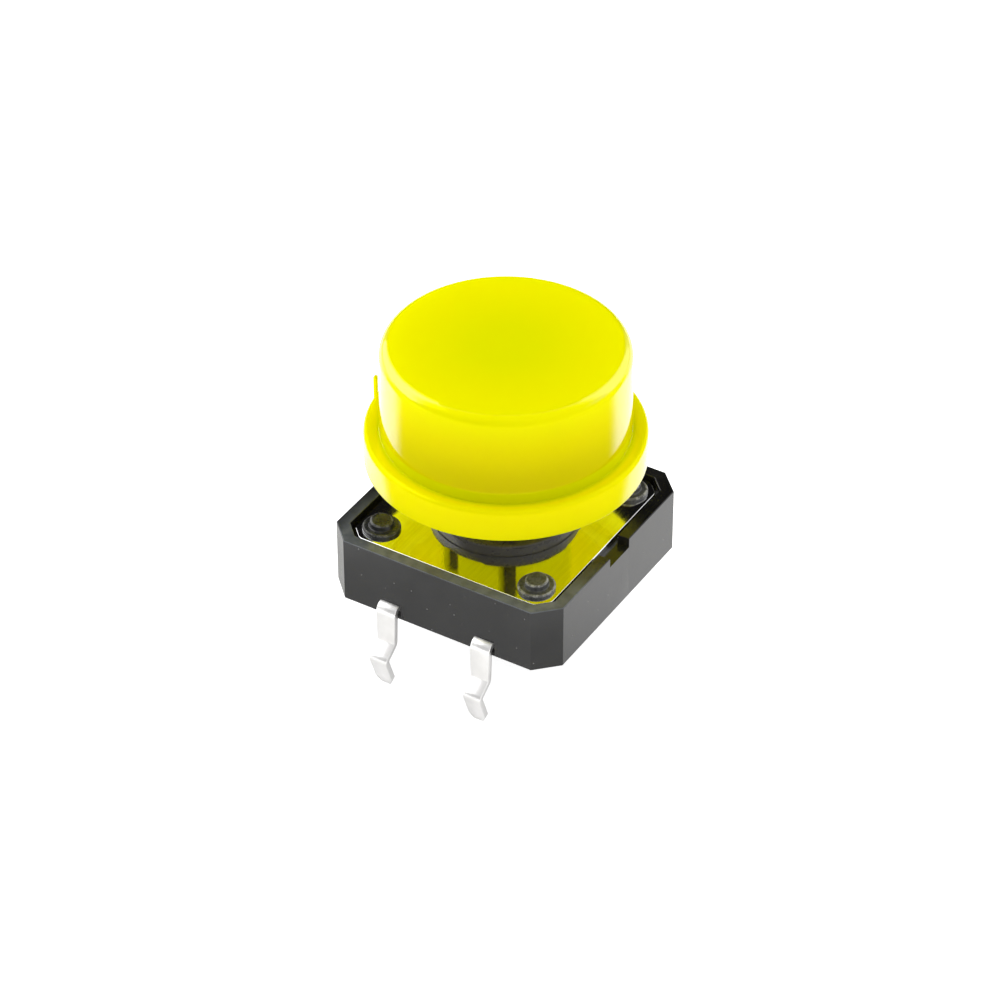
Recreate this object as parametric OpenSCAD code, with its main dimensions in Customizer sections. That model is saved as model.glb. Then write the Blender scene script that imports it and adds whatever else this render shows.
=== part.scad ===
// Tactile push button switch, 12 mm square body, round push-fit cap, four through-hole leads.
// Millimetres, +Z up. The origin is the centre of the base's underside, which is the board's face.

/* [Base] */
// Side of the square base
base_w = 12; // [11.6:0.1:14]
// Height of the base, underside to rim
base_h = 3.35; // [3.2:0.05:4.5]
// Leg of the four corner chamfers
base_chamfer = 1.05; // [0.7:0.05:1.3]
// Width of the rim around the cover plate
rim_w = 0.6; // [0.5:0.05:0.8]
// Depth of the cover plate's seat below the rim
seat_drop = 0.5; // [0.4:0.05:0.7]
// Thickness of the floor over the board
floor_t = 1; // [0.9:0.05:1.1]
// Gap around the stem's flange in the round cavity
cavity_gap = 0.2; // [0.1:0.05:0.3]
// Width of the pry notch in the middle of each plain side
notch_w = 1.7; // [1:0.1:3]

/* [Heat-staked rivets] */
// Distance from the rivets' centres to the rim's inner sides
rivet_inset = 1.3; // [1:0.05:1.4]
// Diameter of the moulded post through the plate
rivet_post_d = 1.1; // [0.8:0.05:1.2]
// Diameter of the flattened skirt on the plate
rivet_skirt_d = 1.75; // [1.5:0.05:1.9]
// Height of the skirt
rivet_skirt_h = 0.18; // [0.1:0.01:0.25]
// Diameter of the button left in the middle
rivet_head_d = 1; // [0.7:0.05:1.2]
// Height of that button above the skirt
rivet_head_h = 0.32; // [0.15:0.01:0.4]
// Radius on the skirt's upper edge
rivet_skirt_edge_r = 0.09; // [0.04:0.01:0.09]
// Radius on the button's upper edge
rivet_head_edge_r = 0.14; // [0.04:0.01:0.14]

/* [Cover plate] */
// Thickness of the sheet
plate_t = 0.3; // [0.2:0.05:0.35]
// Clearance between the plate and the rim
plate_gap = 0.18; // [0.05:0.01:0.2]
// Clearance around each rivet post
rivet_hole_gap = 0.05; // [0.03:0.01:0.1]
// Roll-over on the edge of the round hole
plate_edge = 0.1; // [0.05:0.01:0.15]

/* [Contacts and leads] */
// Gap between the base's side and the leads
lead_gap = 0.1; // [0.05:0.05:0.5]
// Distance between the two leads of a row, along Y
lead_pitch = 5; // [4.6:0.1:5.4]
// Width of the strip and its leads
lead_w = 1; // [0.95:0.05:1.2]
// Width of a lead below the board
lead_end_w = 0.92; // [0.8:0.02:0.94]
// Thickness of the strip
lead_t = 0.3; // [0.2:0.05:0.35]
// Height of the strip's underside above the board
strip_z = 0.5; // [0.4:0.05:0.55]
// Radius of the bend beside the base, on the strip's centre line
bend_r = 0.3; // [0.2:0.05:0.4]
// Radius of the kink's two bends
kink_r = 0.2; // [0.16:0.02:0.26]
// Depth below the board at which the holding kink starts
kink_start = 1.3; // [1:0.05:1.6]
// Depth of the kink's outermost point
kink_depth = 1.85; // [1.75:0.05:2.1]
// How far the kink stands out from the lead
kink_out = 0.75; // [0.5:0.05:0.9]
// Depth of the tip below the board
tip_depth = 3.6; // [3:0.05:4.2]
// How far the tip stands out from the lead
tip_out = 0.08; // [0:0.02:0.3]
// Width of the tip's end
tip_w = 0.45; // [0.3:0.05:0.7]
// Length of the tip's taper
tip_taper = 0.45; // [0.3:0.05:0.8]
// Side of the pads under the dome's rim
pad_w = 1; // [0.8:0.05:1.2]
// Diameter of the centre pad
centre_pad_d = 1.6; // [1:0.1:2]
// Gap between the metal and the plastic moulded around it
moulded_gap = 0.01; // [0.005:0.005:0.02]

/* [Snap dome] */
// Diameter of the dome
dome_d = 6.8; // [6.2:0.1:7.4]
// Thickness of the dome
dome_t = 0.1; // [0.06:0.01:0.15]
// Height of the dome's underside over the centre pad
dome_rise = 0.32; // [0.3:0.01:0.4]

/* [Stem] */
// Height of the stem's square end above the board
stem_top = 7.3; // [7:0.1:8.5]
// Side of the square post
post_w = 3.8; // [3.4:0.1:4]
// Chamfer on the post's top edges
post_chamfer = 0.3; // [0.1:0.05:0.5]
// Diameter of the round collar in the plate's hole
collar_d = 6.9; // [6.6:0.1:7.1]
// Height of the collar above the plate
collar_rise = 0.6; // [0.45:0.05:0.8]
// Radius on the collar's top edge
collar_edge_r = 0.2; // [0.05:0.05:0.3]
// Radial clearance of the collar in the plate's hole
guide_gap = 0.1; // [0.05:0.01:0.12]
// Width of the flange that keeps the stem under the plate
flange_w = 0.65; // [0.5:0.05:0.8]
// Thickness of that flange
flange_t = 0.6; // [0.4:0.05:0.7]
// Gap between the flange and the plate at rest
stop_gap = 0.05; // [0.02:0.01:0.08]
// Diameter of the nub that presses the dome
nub_d = 2.4; // [1.6:0.1:3]
// Gap between the nub and the dome at rest
nub_gap = 0.03; // [0.02:0.01:0.05]

/* [Cap] */
// Height of the cap, brim underside to top
cap_h = 6.05; // [5:0.05:8]
// Diameter of the brim
brim_d = 12.85; // [12.4:0.05:14]
// Height of the brim's outer edge
brim_h = 1.6; // [1.2:0.05:1.8]
// Fall of the brim's top face from its edge to the wall
brim_dip = 0.12; // [0:0.01:0.3]
// Radius on the brim's top edge
brim_edge_r = 0.2; // [0.05:0.01:0.25]
// Diameter of the round wall where it meets the brim
cap_foot_d = 11.4; // [11:0.1:11.8]
// Draft of the wall on the radius, foot to top
cap_draft = 0.05; // [0:0.01:0.2]
// Radius of the shoulder between wall and top
shoulder_r = 0.55; // [0.2:0.05:0.8]
// Wall and roof thickness
cap_wall = 1; // [0.8:0.05:1.2]
// Length of the square socket below the brim
hub_drop = 2.65; // [2:0.05:3]
// Wall of the square socket
hub_wall = 0.53; // [0.45:0.01:0.7]
// Diameter across the socket's rounded corners
hub_corner_d = 6; // [6:0.1:6.6]
// Clearance of the post in the socket, each side
cap_fit = 0.02; // [0.01:0.01:0.05]
// Space above the post in the socket
socket_head = 0.2; // [0.1:0.05:0.4]
// Width of the gripping tongue at its end
tongue_w = 2.3; // [1.8:0.1:2.6]
// Width of the tongue at its root
tongue_root_w = 3.2; // [2.8:0.05:3.35]
// Height of the slots beside the tongues
slot_h = 2.2; // [1.6:0.1:2.5]
// Height of the moulding gate left standing on the brim's edge
gate_h = 1; // [0.3:0.1:1.6]
// Thickness of the gate, across the brim
gate_t = 0.14; // [0.1:0.02:0.2]
// Width of the gate, along the brim
gate_w = 0.2; // [0.1:0.05:0.4]
// Direction of the gate around the cap, degrees from +X
gate_angle = 100; // [0:1:359]

/* [Hidden] */
$fn = 96;
arc_steps = 6;                                   // straight pieces in each rounded corner
cut = 1;                                         // how far cutting shapes reach past a face
root = 0.1;                                      // how deep joined shapes run into each other
gate_inset = 0.02;                               // how far the gate's face lies inside the brim's side

seat_z = base_h - seat_drop;
plate_top = seat_z + plate_t;
recess_w = base_w - 2 * rim_w;
recess_chamfer = inner_chamfer(base_chamfer, rim_w);
plate_w = recess_w - 2 * plate_gap;
plate_chamfer = inner_chamfer(recess_chamfer, plate_gap);
rivet_x = recess_w / 2 - rivet_inset;
hole_d = collar_d + 2 * guide_gap;
flange_d = collar_d + 2 * flange_w;
cavity_d = flange_d + 2 * cavity_gap;

strip_top = strip_z + lead_t;
lead_x = base_w / 2 + lead_gap + lead_t / 2;
dome_top = floor_t + dome_rise + dome_t;
dome_r = (pow(dome_d / 2, 2) + pow(dome_rise, 2)) / (2 * dome_rise);
pad_x = sqrt(pow(dome_d / 2, 2) - pow(lead_pitch / 2, 2));

flange_top = seat_z - stop_gap;
flange_bottom = flange_top - flange_t;
collar_top = plate_top + collar_rise;
nub_bottom = dome_top + nub_gap;

brim_z = collar_top + hub_drop;
brim_top = brim_z + brim_h;
cap_top = brim_z + cap_h;
cap_foot_z = brim_top - brim_dip;
cap_foot_r = cap_foot_d / 2;
cap_top_r = cap_foot_r - cap_draft;
roof_z = cap_top - cap_wall;
socket_w = post_w + 2 * cap_fit;
hub_w = socket_w + 2 * hub_wall;

// Chamfer leg of an octagon moved inwards by d, so that the band between the two has one width.
function inner_chamfer(chamfer, d) = chamfer - d * (2 - sqrt(2));

// Points of a square with cut corners.
function octagon(w, chamfer) = let (h = w / 2, k = w / 2 - chamfer)
  [[k, -h], [h, -k], [h, k], [k, h], [-k, h], [-h, k], [-h, -k], [-k, -h]];

// An outline's corners are [x, y, r]. Each corner with r > 0 becomes an arc that touches both sides.
function unit(v) = v / norm(v);
function flat(p) = [p[0], p[1]];
function turn(a, b) = atan2(a[0] * b[1] - a[1] * b[0], a * b);
function spin(v, a) = [v[0] * cos(a) - v[1] * sin(a), v[0] * sin(a) + v[1] * cos(a)];
function corner(p, v, q) =
  let (a = unit(flat(v) - flat(p)), b = unit(flat(q) - flat(v)), t = turn(a, b), s = sign(t))
  v[2] == 0 || t == 0 ? [flat(v)] :
  let (start = flat(v) - a * v[2] * tan(abs(t) / 2), middle = start + spin(a, 90 * s) * v[2])
  [for (i = [0 : arc_steps]) middle + spin(start - middle, t * i / arc_steps)];
function rounded_loop(p) = let (n = len(p))
  [for (i = [0 : n - 1]) each corner(p[(i + n - 1) % n], p[i], p[(i + 1) % n])];
function rounded_line(p) = let (n = len(p))
  [flat(p[0]), for (i = [1 : n - 2]) each corner(p[i - 1], p[i], p[i + 1]), flat(p[n - 1])];

// A line moved sideways by d, with mitred corners.
function side_step(p, i, d) = let (n = len(p),
    a = unit(p[max(i, 1)] - p[max(i, 1) - 1]),
    b = unit(p[min(i, n - 2) + 1] - p[min(i, n - 2)]),
    m = spin(a, 90) + spin(b, 90))
  p[i] + m * 2 * d / (m * m);
function strip_outline(p, t) = let (n = len(p)) concat(
  [for (i = [0 : n - 1]) side_step(p, i, t / 2)],
  [for (i = [n - 1 : -1 : 0]) side_step(p, i, -t / 2)]);

module prism(outline, z0, z1) {
  translate([0, 0, z0]) linear_extrude(z1 - z0) polygon(outline);
}

module block(w, d, z0, z1) {
  translate([-w / 2, -d / 2, z0]) cube([w, d, z1 - z0]);
}

module disc(d, z0, z1) {
  translate([0, 0, z0]) cylinder(d = d, h = z1 - z0);
}

// Places its children at the four rivets.
module at_rivets() {
  for (x = [-1, 1], y = [-1, 1]) translate([x, y, 0] * rivet_x) children();
}

// A post that was melted over the plate: a flat skirt with a button left in its middle.
module rivet() {
  skirt_r = rivet_skirt_d / 2;
  head_r = rivet_head_d / 2;
  skirt_z = plate_top + rivet_skirt_h;
  head_z = skirt_z + rivet_head_h;
  disc(rivet_post_d, seat_z - root, plate_top + root);
  rotate_extrude() polygon(rounded_loop([
    [0, plate_top, 0], [skirt_r, plate_top, 0], [skirt_r, skirt_z, rivet_skirt_edge_r],
    [head_r, skirt_z, 0], [head_r, head_z, rivet_head_edge_r], [0, head_z, 0]]));
}

// Black moulding: octagonal tub with a sunk seat, a round cavity, two pry notches and four rivets.
module base() color([0.11, 0.11, 0.115]) {
  difference() {
    prism(octagon(base_w, base_chamfer), 0, base_h);
    prism(octagon(recess_w, recess_chamfer), seat_z, base_h + cut);
    disc(cavity_d, floor_t, base_h);
    block(notch_w, base_w + 2 * cut, seat_z, base_h + cut);
    for (y = [-1, 1]) translate([0, y * lead_pitch / 2, 0])
      block(base_w + 2 * cut, lead_w + 2 * moulded_gap, strip_z - moulded_gap, strip_top + moulded_gap);
    dome_pads(moulded_gap);
    centre_arm(moulded_gap);
  }
  at_rivets() rivet();
}

// Bright sheet-metal cover that keeps the stem in, held by the rivets.
module cover_plate() color([0.78, 0.79, 0.8]) difference() {
  prism(octagon(plate_w, plate_chamfer), seat_z, plate_top);
  disc(hole_d, seat_z - cut, plate_top + cut);
  translate([0, 0, plate_top - plate_edge])
    cylinder(d1 = hole_d, d2 = hole_d + 4 * plate_edge, h = 2 * plate_edge);
  at_rivets() disc(rivet_post_d + 2 * rivet_hole_gap, seat_z - cut, plate_top + cut);
}

// A strip across the floor with a bent and kinked lead at each end, its tips tapered.
module contact_strip() {
  kink = [lead_x + kink_out, -kink_depth];
  tip = [lead_x + tip_out, -tip_depth];
  past_tip = tip + (tip - kink) * root;
  side = [[lead_x, strip_z + lead_t / 2, bend_r], [lead_x, -kink_start, kink_r],
    [kink[0], kink[1], kink_r], [past_tip[0], past_tip[1], 0]];
  contact_line = rounded_line(concat(
    [for (i = [len(side) - 1 : -1 : 0]) [-side[i][0], side[i][1], side[i][2]]], side));
  edge = [[lead_w, strip_top + cut], [lead_w, 0], [lead_end_w, -kink_start],
    [lead_end_w, tip_taper - tip_depth], [tip_w, -tip_depth]];
  front = concat([for (p = edge) [p[0] / 2, p[1]]],
    [for (i = [len(edge) - 1 : -1 : 0]) [-edge[i][0] / 2, edge[i][1]]]);
  reach = lead_x + kink_out + cut;
  intersection() {
    rotate([90, 0, 0]) translate([0, 0, -lead_w])
      linear_extrude(2 * lead_w) polygon(strip_outline(contact_line, lead_t));
    rotate([90, 0, 90]) translate([0, 0, -reach]) linear_extrude(2 * reach) polygon(front);
  }
}

// Two pads that carry the dome's rim, flush with the cavity's floor.
module dome_pads(grow = 0) {
  for (x = [-1, 1]) translate([x * pad_x, -lead_pitch / 2, 0])
    block(pad_w + 2 * grow, pad_w + 2 * grow, strip_top - root, floor_t + (grow > 0 ? cut : 0));
}

// An arm from the other strip to the pad under the dome's middle.
module centre_arm(grow = 0) {
  translate([0, lead_pitch / 4, 0])
    block(lead_w + 2 * grow, lead_pitch / 2 + 2 * grow, strip_z - grow, strip_top + grow);
  disc(centre_pad_d + 2 * grow, strip_z - grow, floor_t + (grow > 0 ? cut : 0));
}

module common_contact() color([0.83, 0.83, 0.82]) {
  translate([0, -lead_pitch / 2, 0]) contact_strip();
  dome_pads();
}

module centre_contact() color([0.83, 0.83, 0.82]) {
  translate([0, lead_pitch / 2, 0]) contact_strip();
  centre_arm();
}

// Thin spring dome, a shallow cap of a sphere, standing on its rim.
module snap_dome() color([0.7, 0.69, 0.66]) {
  sphere_z = floor_t + dome_rise - dome_r;
  half_angle = asin(dome_d / 2 / dome_r);
  steps = 3 * arc_steps;
  arc = [for (i = [0 : steps]) half_angle * i / steps];
  rotate_extrude() polygon(concat(
    [for (a = arc) [dome_r * sin(a), sphere_z + dome_r * cos(a)]],
    [for (i = [steps : -1 : 0]) let (a = arc[i]) [dome_r * sin(a), sphere_z + dome_r * cos(a) + dome_t]]));
}

// Black stem: nub and flange under the plate, round collar through it, square post for the cap.
module stem() color([0.09, 0.09, 0.095]) {
  disc(nub_d, nub_bottom, flange_bottom + root);
  rotate_extrude() polygon(rounded_loop([
    [0, flange_bottom, 0], [flange_d / 2, flange_bottom, 0], [flange_d / 2, flange_top, 0],
    [collar_d / 2, flange_top, 0], [collar_d / 2, collar_top, collar_edge_r], [0, collar_top, 0]]));
  intersection() {
    block(post_w, post_w, collar_top - root, stem_top);
    rotate([90, 0, 0]) translate([0, 0, -post_w]) linear_extrude(2 * post_w) post_front();
    rotate([90, 0, 90]) translate([0, 0, -post_w]) linear_extrude(2 * post_w) post_front();
  }
}

// Side view of the post, with its two top edges chamfered.
module post_front() {
  h = post_w / 2;
  polygon([[-h, collar_top - cut], [h, collar_top - cut], [h, stem_top - post_chamfer],
    [h - post_chamfer, stem_top], [post_chamfer - h, stem_top], [-h, stem_top - post_chamfer]]);
}

// Yellow cap: hollow round button with a brim and a square socket that grips the post.
module cap() color([0.93, 0.9, 0.02]) {
  brim_r = brim_d / 2;
  inner_r = cap_foot_r - cap_wall;
  step_z = cap_foot_z - cap_wall;
  rotate_extrude() polygon(rounded_loop([
    [brim_r - cap_wall, brim_z, 0], [brim_r, brim_z, 0], [brim_r, brim_top, brim_edge_r],
    [cap_foot_r, cap_foot_z, 0], [cap_top_r, cap_top, shoulder_r], [0, cap_top, 0],
    [0, roof_z, 0], [inner_r, roof_z, shoulder_r], [inner_r, step_z, 0],
    [brim_r - cap_wall, step_z, 0]]));
  difference() {
    intersection() {
      block(hub_w, hub_w, collar_top, roof_z + root);
      disc(hub_corner_d, collar_top, roof_z + root);
    }
    block(socket_w, socket_w, collar_top - cut, stem_top + socket_head);
    for (side = [-1, 1]) rotate([90, 0, 90]) linear_extrude(hub_w + cut, center = true)
      tongue_slot(side);
  }
  rotate(gate_angle) translate([brim_r - gate_inset - gate_t, -gate_w / 2, brim_top - brim_edge_r - root])
    cube([gate_t, gate_w, gate_h + brim_edge_r + root]);
}

// Outline of the slots on one side of the tongues: wide at the socket's mouth, narrow at its root.
module tongue_slot(side) {
  z0 = collar_top;
  polygon([for (p = [[tongue_w / 2, z0 - cut], [socket_w / 2, z0 - cut], [socket_w / 2, z0 + slot_h],
    [tongue_root_w / 2, z0 + slot_h], [tongue_w / 2, z0 + slot_h / 2]]) [side * p[0], p[1]]]);
}

base();
cover_plate();
common_contact();
centre_contact();
snap_dome();
stem();
cap();
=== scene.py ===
import math

import bpy
import numpy as np
from mathutils import Matrix, Vector


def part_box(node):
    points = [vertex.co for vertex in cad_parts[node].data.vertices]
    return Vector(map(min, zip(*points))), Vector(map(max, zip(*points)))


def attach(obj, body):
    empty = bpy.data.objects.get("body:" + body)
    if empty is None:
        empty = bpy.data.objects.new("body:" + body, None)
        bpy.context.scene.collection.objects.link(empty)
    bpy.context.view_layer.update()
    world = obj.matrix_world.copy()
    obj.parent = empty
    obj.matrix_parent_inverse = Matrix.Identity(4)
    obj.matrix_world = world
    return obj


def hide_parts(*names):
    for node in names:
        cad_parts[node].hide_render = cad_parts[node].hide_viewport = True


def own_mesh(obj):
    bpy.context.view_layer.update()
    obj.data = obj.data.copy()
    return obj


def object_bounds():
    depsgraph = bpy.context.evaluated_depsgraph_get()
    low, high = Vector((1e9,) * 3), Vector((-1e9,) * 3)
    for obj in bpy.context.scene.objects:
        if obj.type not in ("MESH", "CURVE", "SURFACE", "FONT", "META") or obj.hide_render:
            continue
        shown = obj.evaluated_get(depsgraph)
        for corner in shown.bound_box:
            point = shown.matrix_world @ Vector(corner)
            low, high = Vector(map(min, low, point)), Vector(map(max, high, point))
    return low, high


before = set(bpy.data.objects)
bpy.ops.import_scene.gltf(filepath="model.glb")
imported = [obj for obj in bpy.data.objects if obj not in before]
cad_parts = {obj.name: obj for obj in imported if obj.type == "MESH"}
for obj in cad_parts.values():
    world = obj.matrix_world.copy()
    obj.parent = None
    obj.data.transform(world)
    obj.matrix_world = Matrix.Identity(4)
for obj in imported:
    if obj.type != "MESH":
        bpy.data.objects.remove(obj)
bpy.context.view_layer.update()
MM = 0.001

# ------------------------------------------------------------------------------------------------ contacts
# Two stamped strips of tinned brass cross the base's floor, and the base is moulded around them. A lead at
# each end bends down past the side wall, is kinked to spring into its hole and is tapered at its tip. Small
# pads stand up from the strips under the spring dome.


def rounded(corners, steps=6):
    """Points of a line whose corners (x, y, r) are arcs. An arc of radius r starts r * tan(turn / 2) before
    the sharp corner, and its centre lies r to the side of the line."""
    points = [corners[0][:2]]
    for before, here, after in zip(corners[:-2], corners[1:-1], corners[2:]):
        here_at = np.array(here[:2], float)
        r = here[2]
        a = here_at - before[:2]
        b = np.array(after[:2], float) - here_at
        a /= np.linalg.norm(a)
        b /= np.linalg.norm(b)
        turn = math.atan2(a[0] * b[1] - a[1] * b[0], a @ b)
        if r == 0 or abs(turn) < 1e-6:
            points.append(here_at)
            continue
        start = here_at - a * r * math.tan(abs(turn) / 2)
        centre = start + math.copysign(r, turn) * np.array([-a[1], a[0]])
        angle = np.linspace(0, turn, steps + 1)[:, None]
        arm = start - centre
        cross = np.array([-arm[1], arm[0]])
        points.extend(centre + arm * np.cos(angle) + cross * np.sin(angle))
    points.append(corners[-1][:2])
    return np.array(points, float)


def rounded_polygon(distances, insets, corner_r, steps):
    """Loops of a polygon whose side k faces k * 360 / n degrees, at distances[k] from the axis less each
    inset. The arc at a corner is centred where both sides, moved in by corner_r, cross."""
    n = len(distances)
    step = 2 * math.pi / n
    facing = step * np.arange(n)
    normal = np.stack([np.cos(facing), np.sin(facing)], -1)
    along = np.stack([-np.sin(facing), np.cos(facing)], -1)
    near = np.asarray(distances, float) - np.asarray(insets, float)[:, None] - corner_r
    reach = (np.roll(near, -1, axis=1) - near * math.cos(step)) / math.sin(step)
    centre = near[..., None] * normal + reach[..., None] * along
    sweep = facing[:, None] + step * (np.arange(steps) + 0.5) / steps
    arc = corner_r * np.stack([np.cos(sweep), np.sin(sweep)], -1)
    return (centre[:, :, None] + arc).reshape(len(near), n * steps, 2)


def circles(radii, count):
    """Loops of a circle at each radius: point i is at (i + 1/2) / count of a turn."""
    angle = 2 * math.pi * (np.arange(count) + 0.5) / count
    return np.asarray(radii, float)[:, None, None] * np.stack([np.cos(angle), np.sin(angle)], -1)


def at_heights(loops, heights):
    """Flat loops of shape (rows, columns, 2) lifted to one height a row."""
    lift = np.broadcast_to(np.asarray(heights, float)[:, None, None], loops.shape[:2] + (1,))
    return np.concatenate([loops, lift], axis=-1)


def skin(loops, ring=False):
    """Vertices and faces of a stack of loops. Each loop joins the next with quads. In a ring the last loop
    joins the first, and otherwise both ends close on their own middle points."""
    rows, cols = loops.shape[:2]
    i, j = np.meshgrid(np.arange(rows - 1 + ring), np.arange(cols), indexing="ij")
    up = (i + 1) % rows
    on = (j + 1) % cols
    quads = np.stack([i * cols + j, i * cols + on, up * cols + on, up * cols + j], -1).reshape(-1, 4)
    points = loops.reshape(-1, 3)
    if ring:
        return points, quads.tolist()
    edge = np.arange(cols)
    after = (edge + 1) % cols
    last = (rows - 1) * cols
    low = rows * cols
    high = low + 1
    ends = [np.stack([after, edge, np.full(cols, low)], -1),
            np.stack([edge + last, after + last, np.full(cols, high)], -1)]
    points = np.concatenate([points, [loops[0].mean(0), loops[-1].mean(0)]])
    return points, quads.tolist() + np.concatenate(ends).tolist()


def new_piece(name, *skins):
    """One object, in metres, from the skins given in millimetres."""
    points = []
    faces = []
    count = 0
    for skin_points, skin_faces in skins:
        points.append(skin_points)
        faces += [[count + k for k in face] for face in skin_faces]
        count += len(skin_points)
    mesh = bpy.data.meshes.new(name)
    mesh.from_pydata((np.concatenate(points) * MM).tolist(), [], faces)
    mesh.update()
    made = bpy.data.objects.new(name, mesh)
    bpy.context.scene.collection.objects.link(made)
    return made


def block(low, high):
    """Skin of a plain block between two corners."""
    (x0, y0, z0), (x1, y1, z1) = low, high
    floor = [[x0, y0], [x1, y0], [x1, y1], [x0, y1]]
    return skin(at_heights(np.array([floor, floor], float), [z0, z1]))


def carve(made, operation, tool):
    """Joins a tool to a piece, or cuts it away, for good."""
    step = made.modifiers.new("carve", "BOOLEAN")
    step.object = tool
    step.operation = operation
    step.solver = "EXACT"
    seen = made.evaluated_get(bpy.context.evaluated_depsgraph_get())
    carved = bpy.data.meshes.new_from_object(seen)
    made.modifiers.clear()
    made.data = carved
    bpy.data.objects.remove(tool)


def fit(made, material, body, node, crisp=35):
    """Smooth shading with flat faces kept flat, its material, and its place in the frame."""
    made.data.shade_smooth()
    made.data.set_sharp_from_angle(angle=math.radians(crisp))
    flat = made.modifiers.new("flat faces", "WEIGHTED_NORMAL")
    flat.keep_sharp = True
    made.data.materials.clear()
    made.data.materials.append(material)
    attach(made, body)
    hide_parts(node)


def add(tree, kind, inputs=None, **settings):
    """Adds a node. Its inputs take plain values or other nodes' outputs, and its settings are properties."""
    node = tree.nodes.new(kind)
    for key, value in settings.items():
        setattr(node, key, value)
    for key, value in (inputs or {}).items():
        if isinstance(value, bpy.types.NodeSocket):
            tree.links.new(value, node.inputs[key])
        else:
            node.inputs[key].default_value = value
    return node


def new_material(name, **constants):
    """A material with one Principled shader. The constants are set on the shader's own sockets."""
    material = bpy.data.materials.new(name)
    material.use_nodes = True
    tree = material.node_tree
    tree.nodes.clear()
    shader = add(tree, "ShaderNodeBsdfPrincipled")
    for key, value in constants.items():
        shader.inputs[key.replace("_", " ").title().replace("Ior", "IOR")].default_value = value
    add(tree, "ShaderNodeOutputMaterial", {"Surface": shader.outputs[0]})
    return material, tree, shader


def in_millimetres(tree):
    """Object coordinates scaled so that one unit is one millimetre."""
    place = add(tree, "ShaderNodeTexCoord").outputs["Object"]
    return add(tree, "ShaderNodeMapping", {"Vector": place, "Scale": (1 / MM,) * 3}).outputs[0]


def noise(tree, place, scale, detail=3.0, roughness=0.5):
    """Noise with so many waves in a millimetre, as a value from 0 to 1."""
    made = add(tree, "ShaderNodeTexNoise",
               {"Vector": place, "Scale": scale, "Detail": detail, "Roughness": roughness})
    return made.outputs["Fac"]


def ramp(tree, value, low, high, out_low=0.0, out_high=1.0):
    """Maps low..high to out_low..out_high along a smooth step."""
    made = add(tree, "ShaderNodeMapRange", {"Value": value, "From Min": low, "From Max": high,
               "To Min": out_low, "To Max": out_high}, interpolation_type="SMOOTHSTEP")
    return made.outputs["Result"]


def mix(tree, factor, a, b):
    """Colour a where the factor is 0 and colour b where it is 1."""
    made = add(tree, "ShaderNodeMix", {0: factor, 6: a, 7: b}, data_type="RGBA")
    return made.outputs[2]


def math_node(tree, operation, *values):
    """One arithmetic step."""
    made = add(tree, "ShaderNodeMath", dict(enumerate(values)), operation=operation)
    return made.outputs[0]


def times(tree, *masks):
    """Product of two or more masks."""
    product = masks[0]
    for mask in masks[1:]:
        product = math_node(tree, "MULTIPLY", product, mask)
    return product


def vector_math(tree, operation, *vectors, result="Vector"):
    """One step on vectors. The result of a length or a dot product is its Value."""
    made = add(tree, "ShaderNodeVectorMath", dict(enumerate(vectors)), operation=operation)
    return made.outputs[result]


def bump(tree, height, distance):
    """Normals of a relief whose height of 1 stands for the distance, in metres."""
    made = add(tree, "ShaderNodeBump", {"Height": height, "Distance": distance, "Strength": 1.0})
    return made.outputs[0]


def colour(red, green, blue):
    """Linear colour from display values of 0 to 255."""
    shown = np.array([red, green, blue], float) / 255
    linear = np.where(shown <= 0.04045, shown / 12.92, ((shown + 0.055) / 1.055) ** 2.4)
    return (*linear.tolist(), 1.0)


strip_low, strip_high = (np.array(corner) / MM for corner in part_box("common_contact"))
base_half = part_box("base")[1].x / MM
lead_t = 0.3
lead_w = strip_high[1] - strip_low[1]
lead_end_w = 0.92
tip_w = 0.45
taper_h = 0.45
lead_x = 6.25                                    # standard rows 12.5 mm apart
lead_y = (strip_low[1] + strip_high[1]) / 2
strip_z = 0.5
kink_start_z = -1.3
kink = (lead_x + 0.75, -1.85)
tip = (lead_x + 0.08, strip_low[2])
bend_r = 0.3
kink_r = 0.2
stamped_r = 0.04
nominal_half = 0.5
station_step = 0.1
pad_x = 2.3
pad_low = strip_z + 0.1
pad_top = strip_high[2]
outer_pad_half = 0.5
middle_pad_r = 0.8
arm_half = 0.5


def contact_strip(y):
    """A strip along the line tip, kink, bend, floor, bend, kink, tip. Its section is a rounded rectangle of a
    nominal width, whose two edges move in or out to the width at each depth."""
    side = [(lead_x, strip_z + lead_t / 2, bend_r), (lead_x, kink_start_z, kink_r),
            (*kink, kink_r), (*tip, 0)]
    line = rounded([(-x, z, r) for x, z, r in side[::-1]] + side)
    run = np.concatenate([[0], np.cumsum(np.linalg.norm(np.diff(line, axis=0), axis=1))])
    stations = np.union1d(run, np.arange(0, run[-1], station_step))
    x, z = (np.interp(stations, run, line[:, k]) for k in (0, 1))
    slope = np.stack([np.gradient(x, stations), np.gradient(z, stations)], -1)
    slope /= np.linalg.norm(slope, axis=1, keepdims=True)
    depths = [tip[1], tip[1] + taper_h, kink_start_z, 0]
    width = np.interp(z, depths, [tip_w, lead_end_w, lead_end_w, lead_w])
    section = rounded_polygon([nominal_half, lead_t / 2] * 2, [0], stamped_r, 4)[0]
    across = np.sign(section[:, 0]) * (width[:, None] / 2 - (nominal_half - np.abs(section[:, 0])))
    out = section[:, 1]
    points = np.stack([x[:, None] - slope[:, 1:] * out, y + across, z[:, None] + slope[:, :1] * out], -1)
    points[..., 2] = np.maximum(points[..., 2], tip[1])
    return skin(points[:, ::-1])


def dome_pad(x, y, half):
    """A pad that rises from a strip to the floor of the cavity."""
    return block((x - half, y - half, pad_low), (x + half, y + half, pad_top))


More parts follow.
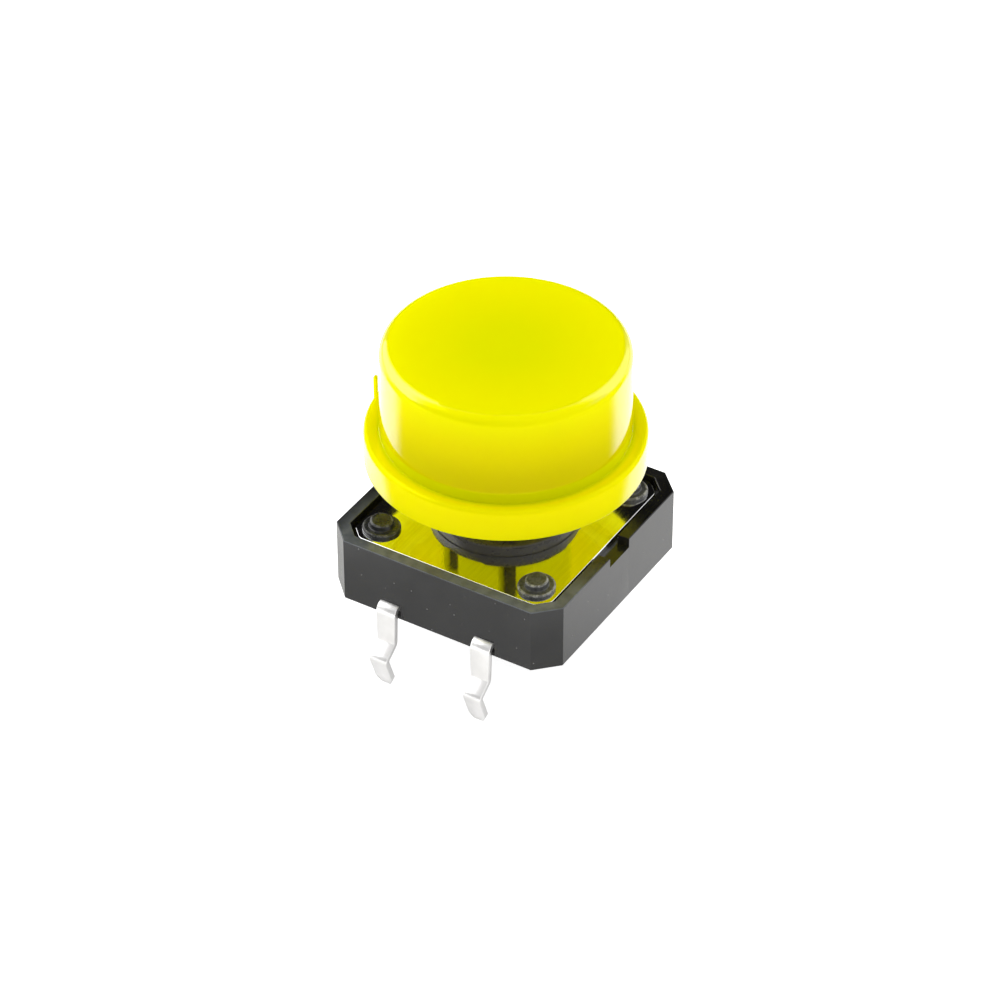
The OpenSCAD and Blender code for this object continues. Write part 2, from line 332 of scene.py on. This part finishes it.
metal, tree, shader = new_material("tinned_brass", metallic=1.0)
place = in_millimetres(tree)
long_streaks = add(tree, "ShaderNodeMapping", {"Vector": place, "Scale": (9, 9, 0.8)}).outputs[0]
streaks = noise(tree, long_streaks, 1.0, detail=3)
cloud = noise(tree, place, 0.9)
tin = mix(tree, ramp(tree, cloud, 0.3, 0.7), colour(241, 240, 239), colour(249, 248, 247))
nicks = ramp(tree, noise(tree, place, 5, detail=6, roughness=0.7), 0.68, 0.76)
tree.links.new(mix(tree, nicks, tin, colour(200, 196, 192)), shader.inputs["Base Color"])
tree.links.new(ramp(tree, streaks, 0.3, 0.75, 0.3, 0.42), shader.inputs["Roughness"])
tree.links.new(bump(tree, streaks, 0.003 * MM), shader.inputs["Normal"])

common = new_piece("common_contact_leads", contact_strip(lead_y))
for x in (-pad_x, pad_x):
    carve(common, "UNION", new_piece("pad", dome_pad(x, lead_y, outer_pad_half)))
fit(common, metal, "switch_body", "common_contact")

centre = new_piece("centre_contact_leads", contact_strip(-lead_y))
# Known fault: this arm ends on the other contact's strip. The real one goes from the pad to this contact's
# own strip, so it would run from 0 to abs(lead_y).
arm = block((-arm_half, -abs(lead_y), strip_z), (arm_half, 0, strip_z + lead_t))
carve(centre, "UNION", new_piece("arm", arm))
button_pad = skin(at_heights(circles([middle_pad_r] * 2, 48), [strip_z, pad_top]))
carve(centre, "UNION", new_piece("pad", button_pad))
fit(centre, metal, "switch_body", "centre_contact")

# ------------------------------------------------------------------------------------------------ snap dome
# A thin spring-steel dome stands on the two outer pads. It snaps down on the middle pad when the button is
# pressed, so it flattens towards its rim as the button goes down.
dome_low, dome_high = (np.array(corner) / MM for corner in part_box("snap_dome"))
dome_t = 0.1
dome_rim = dome_high[0]
dome_rise = dome_high[2] - dome_t - dome_low[2]


def sphere_heights(r):
    """Height over the rim of the sphere through the rim and the crown."""
    sphere_r = (dome_rim ** 2 + dome_rise ** 2) / (2 * dome_rise)
    return np.sqrt(sphere_r ** 2 - r ** 2) - (sphere_r - dome_rise)


radii = dome_rim * np.linspace(0.02, 1, 30)
dome_r = np.concatenate([radii, radii[::-1]])
dome_z = dome_low[2] + np.concatenate([sphere_heights(radii), sphere_heights(radii)[::-1] + dome_t])
dome = new_piece("spring_dome", skin(at_heights(circles(dome_r, 96), dome_z)))

spring, tree, shader = new_material("spring_steel", metallic=1.0)
place = in_millimetres(tree)
rings = add(tree, "ShaderNodeTexWave", {"Vector": place, "Scale": 3.0, "Distortion": 2.0},
            wave_type="RINGS", rings_direction="Z").outputs["Fac"]
tree.links.new(mix(tree, rings, colour(196, 194, 188), colour(214, 213, 208)), shader.inputs["Base Color"])
tree.links.new(ramp(tree, noise(tree, place, 4), 0.3, 0.7, 0.18, 0.3), shader.inputs["Roughness"])
fit(dome, spring, "switch_body", "snap_dome")
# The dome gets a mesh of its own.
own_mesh(dome)

# ------------------------------------------------------------------------------------------------ base
# Black moulding: an eight-sided tub with a rim, a sunk seat for the cover plate, a round cavity, and a pry
# notch in the middle of each side without leads. Its four posts go through the plate and are melted down to
# rivets.
plate_low, plate_high = (np.array(corner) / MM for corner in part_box("cover_plate"))
base_h = 3.35
base_chamfer = 1.05
base_sides = [base_half, (2 * base_half - base_chamfer) / math.sqrt(2)] * 4
rim_w = 0.6
seat_z = plate_low[2]
floor_z = dome_low[2]
cavity_r = 4.3
seat_ring_w = 0.3
notch_half = 0.85
notch_floor = seat_z + 0.01
edge_r = 0.05
underside_r = 0.1
base_corner_r = 0.04
corner_steps = 12


def notch_columns():
    """Across a notch, from one edge to the other: the places along the side, and the height that the rim
    keeps there. Each edge is an arc of edge_r, then the notch's wall."""
    turn = np.linspace(0, math.pi / 2, 5)
    x = np.append(notch_half + edge_r * (1 - np.sin(turn)), notch_half)
    top = np.append(base_h - edge_r * (1 - np.cos(turn)), notch_floor)
    return np.concatenate([x, -x[::-1]]), np.concatenate([top, top[::-1]])


def tub():
    """Loops of the tub, from the underside up the side, over the rim and down to the seat and the cavity. The
    rim's loops have extra columns on the two notched sides, where no height exceeds the notch's own.

    Known faults: the cavity keeps the angles of the rim's columns, which crowd at the corners and notches.
    Its wall is flat between them, where the real one is round, and the stem's flange reaches into it. The tub
    has no channels for the contact strips, which overlap its floor."""
    profile = rounded([(1, 0, 0), (0, 0, underside_r), (0, base_h, edge_r), (rim_w, base_h, edge_r),
                       (rim_w, seat_z, 0)])
    loops = rounded_polygon(base_sides, profile[:, 0], base_corner_r, corner_steps)
    across, top = notch_columns()
    side_y = base_half - profile[:, 0]
    low = 6 * corner_steps                       # the column after the corner before the -Y side
    high = 2 * corner_steps                      # the column after the corner before the +Y side
    shape = (len(profile), len(across))
    plus = np.stack(np.broadcast_arrays(across, side_y[:, None]), -1).reshape(*shape, 2)
    minus = -plus
    loops = np.concatenate([loops[:, :high], plus, loops[:, high:low], minus, loops[:, low:]], axis=1)
    open_top = np.full(2 * corner_steps, base_h)
    tops = np.concatenate([open_top, top, open_top, open_top, top, open_top])
    heights = np.minimum(profile[:, 1:], tops)
    rim = np.concatenate([loops, heights[..., None]], axis=-1)
    angles = np.arctan2(rim[-1, :, 1], rim[-1, :, 0])
    round_profile = rounded([(cavity_r + seat_ring_w, seat_z, 0), (cavity_r, seat_z, edge_r),
                             (cavity_r, floor_z, 0)])
    cavity = round_profile[:, :1, None] * np.stack([np.cos(angles), np.sin(angles)], -1)
    return np.concatenate([rim, at_heights(cavity, round_profile[:, 1])])


rivet_x = 4.1
rivet_places = [(x, y) for y in (-rivet_x, rivet_x) for x in (-rivet_x, rivet_x)]
pole_r = 0.05
post_r = 0.55
post_low = seat_z - 0.1
skirt_r = 0.875
skirt_top = plate_high[2] + 0.2
head_foot_r = 0.56
head_r = 0.52
head_top = plate_high[2] + 0.5
out_of_round = 0.02
head_slope = 0.06
rivet_profile = [(pole_r, post_low, 0), (post_r, post_low, 0), (post_r, plate_high[2], 0),
                 (skirt_r, plate_high[2], 0.02), (skirt_r, skirt_top, 0.09), (head_foot_r, skirt_top, 0.06),
                 (head_r, head_top, 0.1), (pole_r, head_top, 0)]


def rivet(x, y, phase):
    """A melted post: a profile turned about its own axis. Over the plate its radius varies with the cosine of
    twice the angle, and its height with the cosine of the angle."""
    profile = rounded(rivet_profile)
    loops = at_heights(circles(profile[:, 0], 64), profile[:, 1])
    angle = np.arctan2(loops[..., 1], loops[..., 0])
    above = np.clip(loops[..., 2:] - plate_high[2], 0, None)
    loops[..., :2] *= 1 + out_of_round * np.cos(2 * angle + phase)[..., None] * (above > 0)
    loops[..., 2] += above[..., 0] * head_slope * np.cos(angle + 2 * phase)
    return skin(loops + [x, y, 0])


rivets = [rivet(x, y, 1.3 * k) for k, (x, y) in enumerate(rivet_places)]
base = new_piece("base_moulding", skin(tub()), *rivets)


def moulded_grain():
    """Shader group: a satin moulding's fine texture as a height, with slow mottling and sparse specks."""
    group = bpy.data.node_groups.new("moulded_grain", "ShaderNodeTree")
    group.interface.new_socket("Place", in_out="INPUT", socket_type="NodeSocketVector")
    group.interface.new_socket("Grain", in_out="INPUT", socket_type="NodeSocketFloat")
    for name in ("Height", "Mottle", "Specks"):
        group.interface.new_socket(name, in_out="OUTPUT", socket_type="NodeSocketFloat")
    given = group.nodes.new("NodeGroupInput")
    result = group.nodes.new("NodeGroupOutput")
    place = given.outputs["Place"]
    fine = noise(group, place, given.outputs["Grain"], detail=3)
    mottle = noise(group, place, 0.5, detail=4, roughness=0.6)
    cells = add(group, "ShaderNodeTexVoronoi", {"Vector": place, "Scale": 2.2})
    drawn = add(group, "ShaderNodeSeparateColor", {"Color": cells.outputs["Color"]}).outputs[0]
    rare = math_node(group, "GREATER_THAN", drawn, 0.72)
    dot = ramp(group, cells.outputs["Distance"], 0.1, 0.04)
    for name, value in (("Height", fine), ("Mottle", mottle), ("Specks", times(group, rare, dot))):
        group.links.new(value, result.inputs[name])
    return group


grain_group = moulded_grain()


def grain(tree, place, waves):
    """Outputs of the grain group, with so many waves in a millimetre."""
    node = tree.nodes.new("ShaderNodeGroup")
    node.node_tree = grain_group
    tree.links.new(place, node.inputs["Place"])
    node.inputs["Grain"].default_value = waves
    return node.outputs


black, tree, shader = new_material("black_moulding", ior=1.5)
place = in_millimetres(tree)
texture = grain(tree, place, 9.0)
axes = add(tree, "ShaderNodeSeparateXYZ", {"Vector": place}).outputs
from_rivet = vector_math(tree, "SUBTRACT", vector_math(tree, "ABSOLUTE", place), (rivet_x, rivet_x, 0))
apart = vector_math(tree, "LENGTH", vector_math(tree, "MULTIPLY", from_rivet, (1, 1, 0)), result="Value")
rivet_zone = (0.95, 1.0)
on_rivets = ramp(tree, apart, *rivet_zone[::-1])
on_rim = times(tree, ramp(tree, axes["Z"], base_h - 0.06, base_h - 0.01), ramp(tree, apart, *rivet_zone))
body_tone = mix(tree, ramp(tree, texture["Mottle"], 0.3, 0.7), colour(20, 20, 21), colour(31, 31, 31))
body_tone = mix(tree, times(tree, texture["Specks"], 0.5), body_tone, colour(170, 170, 168))
# Painted reflection: the rim's top is paler in patches on the -X side.
painted_sheen_side = times(tree, ramp(tree, axes["X"], -0.5, -4.5), ramp(tree, axes["Y"], 6.6, 5.0))
sheen_patches = ramp(tree, noise(tree, place, 1.4, detail=4, roughness=0.5), 0.3, 0.7, 0.6, 1.0)
body_tone = mix(tree, times(tree, sheen_patches, on_rim, painted_sheen_side), body_tone, colour(98, 102, 108))
scuffs = ramp(tree, noise(tree, place, 3.5, detail=5, roughness=0.7), 0.4, 0.62)
# Painted highlights: thin pale lines on the rounded rims of each rivet's head and skirt.
head_rim_highlight = times(tree, ramp(tree, apart, 0.4, 0.48),
                  ramp(tree, axes["Z"], plate_high[2] + 0.38, plate_high[2] + 0.44))
skirt_rim_highlight = times(tree, ramp(tree, apart, 0.74, 0.82),
                   ramp(tree, axes["Z"], plate_high[2] + 0.08, plate_high[2] + 0.14))
# The rivets are paler, more scuffed and more strongly edged towards -Y, and darker and bluish towards +Y.
toward_minus_y = ramp(tree, axes["Y"], 4.0, -4.0, 0.25, 1.0)
painted_rim_highlight = times(tree, math_node(tree, "MAXIMUM", head_rim_highlight, skirt_rim_highlight), on_rivets,
                  ramp(tree, scuffs, 0.0, 1.0, 0.25, 1.0), toward_minus_y)
scuffs = times(tree, scuffs, on_rivets, toward_minus_y)
rivet_tone = mix(tree, toward_minus_y, colour(16, 18, 22), colour(58, 59, 58))
body_tone = mix(tree, on_rivets, body_tone, rivet_tone)
body_tone = mix(tree, times(tree, scuffs, 0.5), body_tone, colour(96, 97, 97))
# The painted rim highlights go over the base colour last.
tree.links.new(mix(tree, painted_rim_highlight, body_tone, colour(158, 158, 155)), shader.inputs["Base Color"])
tree.links.new(ramp(tree, texture["Mottle"], 0.3, 0.7, 0.17, 0.25), shader.inputs["Roughness"])
relief = math_node(tree, "MULTIPLY_ADD", scuffs, 1.5, texture["Height"])
tree.links.new(bump(tree, relief, 0.004 * MM), shader.inputs["Normal"])
fit(base, black, "switch_body", "base")

# ------------------------------------------------------------------------------------------------ stem
# Black moulded plunger: a nub over the dome, a flange that stays under the plate, a round collar that slides
# in the plate's hole, and a square post for the cap.
stem_low, stem_high = (np.array(corner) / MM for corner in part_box("stem"))
cap_low, cap_high = (np.array(corner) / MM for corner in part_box("cap"))
nub_r = 1.2
flange_r = stem_high[0]
flange_low = 2.2
flange_top = seat_z - 0.05
collar_r = 3.45
collar_top = cap_low[2]
post_half = 1.9
post_chamfer = 0.3
post_seat_r = post_half * 1.4


def stem_loops():
    """Circles up to the collar's top, then squares for the post."""
    turned = rounded([(pole_r, stem_low[2], 0), (nub_r, stem_low[2], edge_r), (nub_r, flange_low, 0),
                      (flange_r, flange_low, edge_r), (flange_r, flange_top, edge_r),
                      (collar_r, flange_top, 0), (collar_r, collar_top, 0.2), (post_seat_r, collar_top, 0)])
    square = rounded([(0, collar_top, 0), (0, stem_high[2] - post_chamfer, 0.04),
                      (post_chamfer, stem_high[2], 0.04), (post_half - 0.1, stem_high[2], 0)])
    round_part = at_heights(circles(turned[:, 0], 96), turned[:, 1])
    post = at_heights(rounded_polygon([post_half] * 4, square[:, 0], 0.05, 24), square[:, 1])
    return np.concatenate([round_part, post])


stem = new_piece("stem_moulding", skin(stem_loops()))
plunger, tree, shader = new_material("plunger_moulding")
place = in_millimetres(tree)
texture = grain(tree, place, 6.0)
tree.links.new(mix(tree, texture["Mottle"], colour(46, 44, 43), colour(62, 59, 57)),
               shader.inputs["Base Color"])
tree.links.new(ramp(tree, texture["Mottle"], 0.3, 0.7, 0.2, 0.34), shader.inputs["Roughness"])
tree.links.new(bump(tree, texture["Height"], 0.003 * MM), shader.inputs["Normal"])
fit(stem, plunger, "button", "stem")

# ------------------------------------------------------------------------------------------------ cover plate
# Mirror-bright sheet steel, punched with a round hole for the stem and four small ones for the rivet posts.
# It lies on the base's seat. Its outer edge is rolled over on top.
plate_half = plate_high[0]
plate_chamfer = base_chamfer - (base_half - plate_half) * (2 - math.sqrt(2))
plate_sides = [plate_half, (2 * plate_half - plate_chamfer) / math.sqrt(2)] * 4
plate_corner_r = 0.4
rolled_r = 0.05
cut_r = 0.02
hole_r = collar_r + 0.02
punch_r = 0.6
punch_over = 0.5
top_z = plate_high[2]
under_z = plate_low[2]
outer = rounded([(1, under_z, 0), (0, under_z, cut_r), (0, top_z, rolled_r), (1, top_z, 0)])[1:-1]
inner = rounded([(hole_r + 1, top_z, 0), (hole_r, top_z, cut_r), (hole_r, under_z, cut_r),
                 (hole_r + 1, under_z, 0)])[1:-1]
outline = rounded_polygon(plate_sides, outer[:, 0], plate_corner_r, 16)
plate_loops = np.concatenate([at_heights(outline, outer[:, 1]),
                              at_heights(circles(inner[:, 0], 128), inner[:, 1])])
plate = new_piece("cover_sheet", skin(plate_loops, ring=True))
punch = at_heights(circles([punch_r] * 2, 48), [under_z - punch_over, top_z + punch_over])
punches = [skin(punch + [x, y, 0]) for x in (-rivet_x, rivet_x) for y in (-rivet_x, rivet_x)]
carve(plate, "DIFFERENCE", new_piece("punches", *punches))

sheet, tree, shader = new_material("bright_sheet", metallic=1.0)
place = in_millimetres(tree)
rolling = add(tree, "ShaderNodeMapping", {"Vector": place, "Scale": (0.4, 9, 1)}).outputs[0]
lines = noise(tree, rolling, 1.0, detail=4)
wave = noise(tree, place, 0.25, detail=1)
tree.links.new(mix(tree, ramp(tree, lines, 0.3, 0.7), colour(222, 223, 224), colour(232, 233, 234)),
               shader.inputs["Base Color"])
tree.links.new(ramp(tree, lines, 0.35, 0.75, 0.08, 0.12), shader.inputs["Roughness"])
relief = math_node(tree, "MULTIPLY_ADD", lines, 0.006, wave)
tree.links.new(bump(tree, relief, 0.02 * MM), shader.inputs["Normal"])
fit(plate, sheet, "switch_body", "cover_plate")

# ------------------------------------------------------------------------------------------------ cap
# Glossy yellow moulding, a hollow round button with a brim. A square socket under its roof takes the stem's
# post between two tongues. The moulding gate is left as a small nib on the brim's edge.
brim_r = cap_high[0]
brim_z = 6.4
brim_top = brim_z + 1.6
brim_edge_r = 0.2
foot_z = brim_top - 0.12
foot_r = 5.7
wall_top_r = 5.65
shoulder_r = 0.55
cap_top = cap_high[2]
cap_wall = 1.0
roof_z = cap_top - cap_wall
under_r = foot_r - cap_wall
step_z = foot_z - cap_wall
cap_profile = rounded([
    (pole_r, roof_z, 0), (under_r, roof_z, 0.5), (under_r, step_z, 0.08), (brim_r - cap_wall, step_z, 0.08),
    (brim_r - cap_wall, brim_z, 0.04), (brim_r, brim_z, 0.05), (brim_r, brim_top, brim_edge_r),
    (foot_r, foot_z, 0.06), (wall_top_r, cap_top, shoulder_r), (pole_r, cap_top, 0)], steps=14)
cap = new_piece("cap_moulding", skin(at_heights(circles(cap_profile[:, 0], 256), cap_profile[:, 1])))

socket_half = post_half + 0.02
socket_top = stem_high[2] + 0.2
slot_h = {-1: 2.8, 1: 2.2}
slot_inner = 1.08
slot_reach = 4
cut_below = 1
hub_half = socket_half + 0.53
hub_r = 3.0


def hub_loop():
    """A square with round corners: an arc of the hub's circle at each corner, from where it crosses one side
    to where it crosses the next."""
    crossing = math.acos(hub_half / hub_r)
    arc = np.linspace(crossing, math.pi / 2 - crossing, 9)
    angle = (math.pi / 2 * np.arange(4)[:, None] + arc).ravel()
    return hub_r * np.stack([np.cos(angle), np.sin(angle)], -1)


hub = new_piece("hub", skin(at_heights(np.stack([hub_loop()] * 2), [collar_top, roof_z + 0.1])))
socket = block((-socket_half, -socket_half, collar_top - cut_below), (socket_half, socket_half, socket_top))
carve(hub, "DIFFERENCE", new_piece("socket", socket))
for side in (-1, 1):
    slot_top = collar_top + slot_h[side]
    outline = np.array([(slot_inner, collar_top - cut_below), (socket_half, collar_top - cut_below),
                        (socket_half, slot_top), (slot_inner, slot_top)])
    ends = np.stack([np.stack([np.full(4, x), side * outline[:, 0], outline[:, 1]], -1)
                     for x in (-slot_reach, slot_reach)])
    slot = skin(ends if side > 0 else ends[:, ::-1])
    carve(hub, "DIFFERENCE", new_piece("slot", slot))
carve(cap, "UNION", hub)
gate_angle = math.radians(100)
gate_outer = brim_r - 0.02
gate_t = 0.14
gate_half = 0.1
gate_root = 0.3
gate_h = 1
nib, nib_faces = block((gate_outer - gate_t, -gate_half, brim_top - gate_root),
                       (gate_outer, gate_half, brim_top + gate_h))
turn = np.array([[math.cos(gate_angle), math.sin(gate_angle), 0],
                 [-math.sin(gate_angle), math.cos(gate_angle), 0], [0, 0, 1]])
carve(cap, "UNION", new_piece("nib", (nib @ turn, nib_faces)))

# Glossy yellow plastic. Its emission is a painted glow on the inside of the cap.
yellow, tree, shader = new_material("yellow_moulding", metallic=0.1, specular_ior_level=0.0,
                                    coat_roughness=0.04, coat_ior=1.75, subsurface_weight=1.0,
                                    subsurface_scale=2.0 * MM, emission_strength=0.2)
shader.inputs["Specular Tint"].default_value = (1.0, 0.95, 0.02, 1.0)
shader.inputs["Subsurface Radius"].default_value = (1.0, 0.9, 0.05)
place = in_millimetres(tree)
axes = add(tree, "ShaderNodeSeparateXYZ", {"Vector": place}).outputs
radius = math_node(tree, "SQRT", math_node(tree, "ADD", times(tree, axes["X"], axes["X"]),
                                           times(tree, axes["Y"], axes["Y"])))
# Painted light and shade: the top is darker and greener at the middle and lighter towards its edge.
top_shade_tone = mix(tree, ramp(tree, radius, 1.0, 5.4), colour(229, 231, 0), colour(248, 239, 0))
# Painted shade: the wall darkens towards its foot and blends into the top's tone near the shoulder.
up_wall = ramp(tree, axes["Z"], foot_z + 0.8, cap_top - 1.3)
painted_shade_wall = mix(tree, up_wall, colour(208, 198, 0), colour(238, 225, 0))
painted_shade_wall = mix(tree, ramp(tree, axes["Z"], cap_top - 1.9, cap_top - 0.3), painted_shade_wall, top_shade_tone)
on_wall = times(tree, ramp(tree, axes["Z"], foot_z - 0.02, foot_z + 0.02),
                ramp(tree, radius, foot_r + 0.06, foot_r + 0.02))
# Painted shade and reflection: a darker, greener band round the foot of the wall, where the brim shades it
# and shows in it.
foot_band_shade = ramp(tree, axes["Z"], foot_z + 0.66, foot_z + 0.5)
painted_shade_wall = mix(tree, foot_band_shade, painted_shade_wall, colour(214, 219, 0))
# Painted shade: the brim's top is darker and greener in the groove next to the wall.
groove_shade = times(tree, ramp(tree, radius, foot_r + 0.35, foot_r),
                  ramp(tree, axes["Z"], foot_z - 0.06, foot_z))
brim_tone = mix(tree, groove_shade, colour(255, 232, 0), colour(222, 224, 0))
body_tone = mix(tree, on_wall, brim_tone, painted_shade_wall)
# Painted light: the inside of the cap is lighter and glows faintly yellow, a quarter as much within 3.1 mm of
# the axis.
lit_inside = times(tree, ramp(tree, axes["Z"], roof_z + 0.2, roof_z + 0.1),
               ramp(tree, radius, foot_r - 0.1, foot_r - 0.2))
lit_inside = math_node(tree, "MAXIMUM", lit_inside, ramp(tree, axes["Z"], brim_z + 0.05, brim_z + 0.02))
tree.links.new(mix(tree, lit_inside, body_tone, colour(240, 238, 0)), shader.inputs["Base Color"])
painted_glow = times(tree, lit_inside, ramp(tree, radius, 3.1, 3.3, 0.25, 1.0))
tree.links.new(mix(tree, painted_glow, (0, 0, 0, 1), colour(250, 232, 0)), shader.inputs["Emission Color"])
texture = grain(tree, place, 1.2)
tree.links.new(ramp(tree, texture["Mottle"], 0.3, 0.7, 0.06, 0.1), shader.inputs["Roughness"])
tree.links.new(bump(tree, texture["Height"], 0.001 * MM), shader.inputs["Normal"])
facing = add(tree, "ShaderNodeLayerWeight", {"Blend": 0.5}).outputs["Facing"]
top_r = wall_top_r - shoulder_r
on_shoulder = times(tree, ramp(tree, axes["Z"], cap_top - 0.34, cap_top - 0.22),
                    ramp(tree, radius, top_r + 0.06, top_r + 0.26), ramp(tree, facing, 0.12, 0.26))
gloss = math_node(tree, "MAXIMUM", on_shoulder, ramp(tree, facing, 0.5, 0.66))
tree.links.new(ramp(tree, gloss, 0.0, 1.0, 0.02, 1.0), shader.inputs["Coat Weight"])
fit(cap, yellow, "button", "cap")

# ------------------------------------------------------------------------------------------------ studio
# A white floor under the lead tips, a pale room, and a soft box behind on each side. The room is dark
# straight behind the object and brighter overhead and to the right, and gloss and metal see the floor dimmed
# near the object. What has a side is placed from the camera's azimuth, and stays put when the view turns.
aim = Vector((-0.431, 0.055, 3.970)) * MM
camera_azimuth, camera_elevation, camera_roll = (math.radians(a) for a in (-58.508, 37.825, -0.0675))
camera_distance = 189.7 * MM
camera_lens = 150.255
sensor_w = 36.0
floor_half = 1.5


def direction(azimuth, elevation):
    """Unit vector from the object at an azimuth, counted from -Y towards +X, and an elevation."""
    flat = math.cos(elevation)
    return Vector((math.sin(azimuth) * flat, -math.cos(azimuth) * flat, math.sin(elevation)))


back = direction(camera_azimuth, camera_elevation)
camera_data = bpy.data.cameras.new("camera")
camera_data.lens = camera_lens
camera_data.sensor_width = sensor_w
camera_data.clip_start = 5 * MM
camera_data.clip_end = 10
camera = bpy.data.objects.new("camera", camera_data)
bpy.context.scene.collection.objects.link(camera)
turned = (-back).to_track_quat("-Z", "Y").to_matrix() @ Matrix.Rotation(camera_roll, 3, "Z")
camera.matrix_world = Matrix.Translation(aim + back * camera_distance) @ turned.to_4x4()
bpy.context.scene.camera = camera

floor_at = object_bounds()[0].z
corners = [(x * floor_half, y * floor_half, floor_at) for x, y in ((-1, -1), (1, -1), (1, 1), (-1, 1))]
floor_mesh = bpy.data.meshes.new("floor")
floor_mesh.from_pydata(corners, [], [(0, 1, 2, 3)])
floor = bpy.data.objects.new("floor", floor_mesh)
bpy.context.scene.collection.objects.link(floor)
white = bpy.data.materials.new("white_floor")
white.use_nodes = True
tree = white.node_tree
tree.nodes.clear()
path = add(tree, "ShaderNodeLightPath").outputs
mirrored = math_node(tree, "MAXIMUM", path["Is Glossy Ray"], path["Is Transmission Ray"])
spot = add(tree, "ShaderNodeTexCoord").outputs["Object"]


def along(tree, vector, turn):
    """How far a vector reaches in the level direction that is so many degrees round from the camera's."""
    way = direction(camera_azimuth + math.radians(turn), 0)
    return vector_math(tree, "DOT_PRODUCT", vector, way, result="Value")


beyond = along(tree, spot, 117)
apart = vector_math(tree, "LENGTH", spot, result="Value")
near_floor = ramp(tree, beyond, -1 * MM, 9 * MM, 0.2, 0.88)
far_floor = times(tree, ramp(tree, apart, 13 * MM, 19 * MM), ramp(tree, beyond, 16 * MM, -4 * MM, 0.55, 1.0))
falloff = math_node(tree, "MAXIMUM", near_floor, far_floor)
strength = math_node(tree, "MULTIPLY_ADD", mirrored, falloff, times(tree, path["Is Camera Ray"], 0.75))
paint = add(tree, "ShaderNodeBsdfDiffuse", {"Color": (0.85, 0.85, 0.85, 1)})
glow = add(tree, "ShaderNodeEmission", {"Color": (1, 1, 1, 1), "Strength": strength})
look = add(tree, "ShaderNodeAddShader", {0: paint.outputs[0], 1: glow.outputs[0]})
add(tree, "ShaderNodeOutputMaterial", {"Surface": look.outputs[0]})
floor.data.materials.append(white)

world = bpy.data.worlds.new("room")
bpy.context.scene.world = world
world.use_nodes = True
tree = world.node_tree
tree.nodes.clear()
towards = add(tree, "ShaderNodeTexCoord").outputs["Generated"]
aside = math_node(tree, "ABSOLUTE", along(tree, towards, 90))
dark = times(tree, ramp(tree, along(tree, towards, 180), 0.15, 0.5), ramp(tree, aside, 0.6, 0.25))
brighter_right = ramp(tree, along(tree, towards, 70), -0.2, 0.9, 0.5, 1.0)
overhead = add(tree, "ShaderNodeSeparateXYZ", {"Vector": towards}).outputs["Z"]
room = math_node(tree, "ADD", brighter_right, ramp(tree, overhead, 0.4, 1.0, 0.0, 0.22))
room = times(tree, room, ramp(tree, dark, 0.0, 1.0, 1.0, 0.01))
path = add(tree, "ShaderNodeLightPath").outputs
light = add(tree, "ShaderNodeBackground", {"Color": (1, 1, 1, 1), "Strength": room})
seen = add(tree, "ShaderNodeBackground", {"Color": (1, 1, 1, 1), "Strength": 1.0})
shown = add(tree, "ShaderNodeMixShader", {0: path["Is Camera Ray"], 1: light.outputs[0], 2: seen.outputs[0]})
add(tree, "ShaderNodeOutputWorld", {"Surface": shown.outputs[0]})


def soft_box(name, azimuth, elevation, distance, width, height, radiance):
    """A lamp that faces the object, at an azimuth counted from the camera's. Its power is its radiance times
    pi times its area."""
    lamp = bpy.data.lights.new(name, "AREA")
    lamp.shape = "RECTANGLE"
    lamp.size = width
    lamp.size_y = height
    lamp.energy = radiance * math.pi * width * height
    made = bpy.data.objects.new(name, lamp)
    bpy.context.scene.collection.objects.link(made)
    to_lamp = direction(camera_azimuth + math.radians(azimuth), math.radians(elevation))
    made.matrix_world = Matrix.Translation(aim + to_lamp * distance) @ \
        to_lamp.to_track_quat("Z", "Y").to_matrix().to_4x4()


soft_box("left_box", -116, 36, distance=0.3, width=0.4, height=0.32, radiance=1.8)
soft_box("right_box", 120, 34, distance=0.3, width=0.27, height=0.3, radiance=0.7)

bpy.context.scene.view_settings.view_transform = "Standard"
